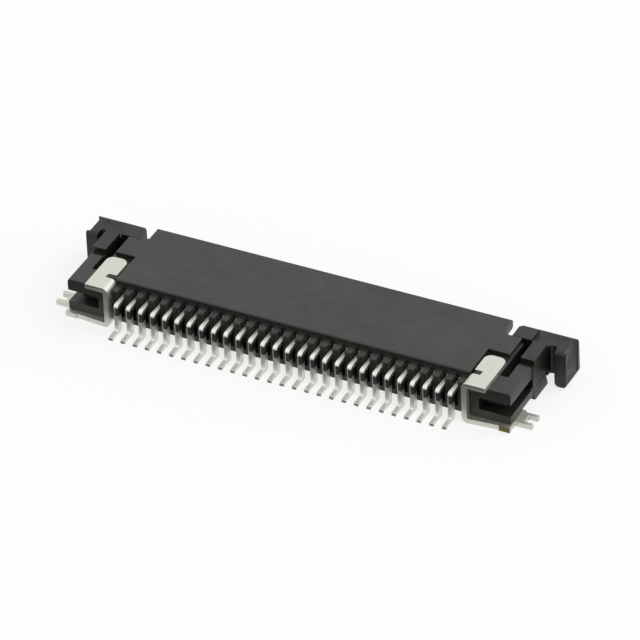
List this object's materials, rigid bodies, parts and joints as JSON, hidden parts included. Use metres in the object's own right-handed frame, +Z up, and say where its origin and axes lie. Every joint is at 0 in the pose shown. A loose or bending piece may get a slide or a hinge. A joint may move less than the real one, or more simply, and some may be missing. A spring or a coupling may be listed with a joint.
{
  "type": "fpc connector",
  "caption": "Right-angle surface-mount FPC connector: black housing with a comb of bent contacts, two tin-plated fitting nails and a slide lock that clamps a flat flexible cable.",
  "frame": {"origin": "on the board plane, under the middle of the connector's bounding box", "axes": "+X along the contact row, +Y out of the cable mouth away from the solder tails, +Z up from the board"},
  "size_m": [0.0196, 0.0052, 0.0017],
  "materials": {
    "housing_plastic": "moulded glass-filled polymer, fine satin",
    "slider_plastic": "moulded glass-filled polymer, fine satin",
    "nail_tin": "copper alloy sheet with satin tin plate",
    "contact_tin": "phosphor bronze with bright tin plate"
  },
  "bodies": {
    "base": {"housing": "housing_plastic", "fitting_nail_left": "nail_tin", "fitting_nail_right": "nail_tin", "contact_01": "contact_tin", "contact_02": "contact_tin", "contact_03": "contact_tin", "contact_04": "contact_tin", "contact_05": "contact_tin", "contact_06": "contact_tin", "contact_07": "contact_tin", "contact_08": "contact_tin", "contact_09": "contact_tin", "contact_10": "contact_tin", "contact_11": "contact_tin", "contact_12": "contact_tin", "contact_13": "contact_tin", "contact_14": "contact_tin", "contact_15": "contact_tin", "contact_16": "contact_tin", "contact_17": "contact_tin", "contact_18": "contact_tin", "contact_19": "contact_tin", "contact_20": "contact_tin", "contact_21": "contact_tin", "contact_22": "contact_tin", "contact_23": "contact_tin", "contact_24": "contact_tin", "contact_25": "contact_tin", "contact_26": "contact_tin", "contact_27": "contact_tin", "contact_28": "contact_tin"},
    "lock": {"slider": "slider_plastic"}
  },
  "joints": [
    {"name": "slider_lock", "type": "slide", "parent": "base", "child": "lock", "axis": [0, 1, 0], "range_m": [0, 0.001]}
  ]
}
